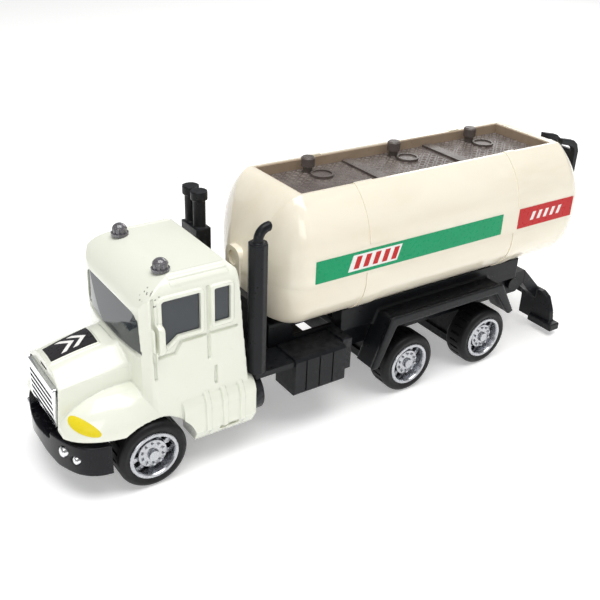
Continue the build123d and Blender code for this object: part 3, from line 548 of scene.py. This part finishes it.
def deck_tread():
    """Rows of short raised dashes on the tread plate, slanted by turns, clear of strips and lids."""
    low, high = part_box("tank_deck")
    tree = surface_of(NODES["tank_deck"])
    bm = bmesh.new()
    pitch_x = 1.6 * MM
    pitch_y = 1.4 * MM
    half_length = 0.62 * MM
    half_width = 0.2 * MM
    height = 0.26 * MM
    ridge_share = 0.62
    sunk_share = 0.2
    level_mm = 0.02
    slant_degrees = 38
    down = Vector((0, 0, -1))
    count_x = int((high.x - low.x) / pitch_x) - 1
    count_y = int((high.y - low.y) / pitch_y) - 1
    top = high.z + 5 * MM
    samples = [tree.ray_cast(Vector((high.x - 1.5 * MM, y * MM, top)), down)[0] for y in (-9, 0, 9)]
    floor_z = min(hit.z for hit in samples)
    for i in range(count_x):
        for j in range(count_y):
            x = low.x + pitch_x * (i + 1)
            y = low.y + pitch_y * (j + 1)
            turn = math.radians(slant_degrees if (i + j) % 2 else -slant_degrees)
            ax = Vector((math.cos(turn), math.sin(turn), 0))
            ay = Vector((-ax.y, ax.x, 0))
            centre = Vector((x, y, floor_z))
            feet = [centre + ax * sx * half_length + ay * sy * half_width
                    for sx, sy in ((-1, -1), (1, -1), (1, 1), (-1, 1))]
            hits = [tree.ray_cast(Vector((p.x, p.y, top)), down)[0] for p in feet]
            if any(h is None or abs(h.z - floor_z) > level_mm * MM for h in hits):
                continue
            lift = Vector((0, 0, height))
            ridge = [bm.verts.new(centre + ax * s * half_length * ridge_share + lift) for s in (-1, 1)]
            base = [bm.verts.new(p - lift * sunk_share) for p in feet]
            bm.faces.new((base[0], base[1], ridge[1], ridge[0]))
            bm.faces.new((base[2], base[3], ridge[0], ridge[1]))
            bm.faces.new((base[1], base[2], ridge[1]))
            bm.faces.new((base[3], base[0], ridge[0]))
    # The dashes take the paler deck copy, a painted highlight on their tops
    add_piece("deck_tread", from_bmesh(bm, "deck_tread"), "deck_smoke_lit")


deck_tread()


def deck_lining():
    """The deck moulding's tan upstand round the tread plate, a thin frame with a bevelled top edge."""
    low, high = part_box("tank_deck")
    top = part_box("tank_upper_shell")[1].z - 0.35 * MM
    bottom = low.z + 1.0 * MM
    thick = 0.4 * MM
    bevel = 0.15 * MM
    bm = bmesh.new()
    profile = ((0.0, bottom), (0.0, top - bevel), (bevel, top), (thick - bevel, top), (thick, top - bevel),
               (thick, bottom))
    rings = []
    for inward, z in profile:
        corners = ((low.x + inward, low.y + inward), (high.x - inward, low.y + inward),
                   (high.x - inward, high.y - inward), (low.x + inward, high.y - inward))
        rings.append([bm.verts.new((x, y, z)) for x, y in corners])
    for a, b in zip(rings, rings[1:] + rings[:1]):
        for i in range(4):
            bm.faces.new((a[i], a[(i + 1) % 4], b[(i + 1) % 4], b[i]))
    bmesh.ops.recalc_face_normals(bm, faces=bm.faces)
    add_piece("deck_lining", from_bmesh(bm, "deck_lining"), "deck_tan")


deck_lining()


# ---------------------------------------------------------------- stage, light and camera

def studio_floor():
    """A pale sheet that the truck stands on, so wide that its edge is never near."""
    bm = bmesh.new()
    half = 6.0
    cells = 8
    bmesh.ops.create_grid(bm, x_segments=cells, y_segments=cells, size=half)
    floor = bpy.data.objects.new("studio_floor", from_bmesh(bm, "studio_floor"))
    bpy.context.scene.collection.objects.link(floor)
    s = Shader("studio_paper", Specular_IOR_Level=0.25, Emission_Color=(1.0, 1.0, 1.0, 1.0),
               Emission_Strength=0.32)
    s.colour(s.mix(s.noise(60.0, 2.0), (0.88, 0.88, 0.875), (0.90, 0.90, 0.895)))
    s.roughness(s.spread(s.noise(8.0, 2.0), 0.3, 0.7, 0.55, 0.65))
    floor.data.materials.append(s.material)


def soft_light(name, position, target, size, watts):
    """A white rectangular area light that looks at the target."""
    light = bpy.data.lights.new(name, "AREA")
    light.shape = "RECTANGLE"
    light.size, light.size_y = size
    light.energy = watts
    lamp = bpy.data.objects.new(name, light)
    bpy.context.scene.collection.objects.link(lamp)
    lamp.location = position
    lamp.rotation_euler = (Vector(target) - Vector(position)).to_track_quat("-Z", "Y").to_euler()


def studio():
    studio_floor()
    world = bpy.data.worlds.new("studio_world")
    world.use_nodes = True
    background = world.node_tree.nodes["Background"]
    background.inputs["Color"].default_value = (1.0, 1.0, 1.0, 1.0)
    background.inputs["Strength"].default_value = 0.30
    bpy.context.scene.world = world
    bpy.context.scene.view_settings.view_transform = "Standard"
    middle = (0.0, 0.0, 0.03)
    soft_light("overhead", (0.05, 0.10, 0.75), middle, (0.7, 0.5), 5.2)
    soft_light("front_left", (0.50, 0.55, 0.40), middle, (0.35, 0.35), 0.9)
    soft_light("rear", (-0.60, -0.35, 0.45), middle, (0.5, 0.4), 1.6)


# The camera orbits this point inside the truck, in metres; the angles are in degrees
VIEW_POINT = Vector((AXLE_X - 0.036367, 0.023663, 0.040426))
AZIMUTH = 144.844
ELEVATION = 28.163
ROLL = 2.528
DISTANCE = 0.193831
FOCAL_MM = 51.0
SENSOR_MM = 36.0
SHIFT = (-0.006, 0.005)


def photo_camera():
    azimuth, elevation, roll = (math.radians(a) for a in (AZIMUTH, ELEVATION, ROLL))
    back = Vector((math.sin(azimuth) * math.cos(elevation), -math.cos(azimuth) * math.cos(elevation),
                   math.sin(elevation)))
    right = Vector((0, 0, 1)).cross(back).normalized()
    up = back.cross(right)
    x = right * math.cos(roll) + up * math.sin(roll)
    y = up * math.cos(roll) - right * math.sin(roll)
    data = bpy.data.cameras.new("photo_camera")
    data.lens = FOCAL_MM
    data.sensor_width = SENSOR_MM
    data.shift_x, data.shift_y = SHIFT
    data.clip_start = 0.01
    camera = bpy.data.objects.new("photo_camera", data)
    bpy.context.scene.collection.objects.link(camera)
    turn = Matrix((x, y, back)).transposed().to_4x4()
    camera.matrix_world = Matrix.Translation(VIEW_POINT + back * DISTANCE) @ turn
    bpy.context.scene.camera = camera


studio()
photo_camera()
